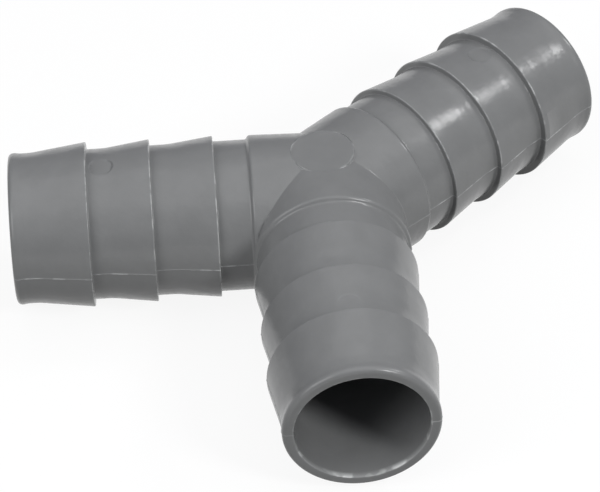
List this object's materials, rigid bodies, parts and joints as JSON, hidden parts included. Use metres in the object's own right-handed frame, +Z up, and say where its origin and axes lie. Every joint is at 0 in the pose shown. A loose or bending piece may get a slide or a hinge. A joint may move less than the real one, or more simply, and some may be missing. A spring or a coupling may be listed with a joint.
{
  "type": "tubing y connector",
  "caption": "Moulded plastic Y fitting that joins three flexible tubes: barbed hose tails around a mitred hub with one open bore, laid flat.",
  "frame": {"origin": "the point where the three bore axes cross, in the parting plane", "axes": "+X along the stem, out of its mouth; +Z up out of the plane of the three tails, with the fitting lying flat; the two branches leave at 141 and -126.5 degrees from +X about +Z"},
  "size_m": [0.1014, 0.0925, 0.0278],
  "materials": {
    "grey_plastic": "satin moulded grey polypropylene with fine tool marks"
  },
  "bodies": {
    "root": {"y_connector": "grey_plastic"}
  },
  "joints": []
}
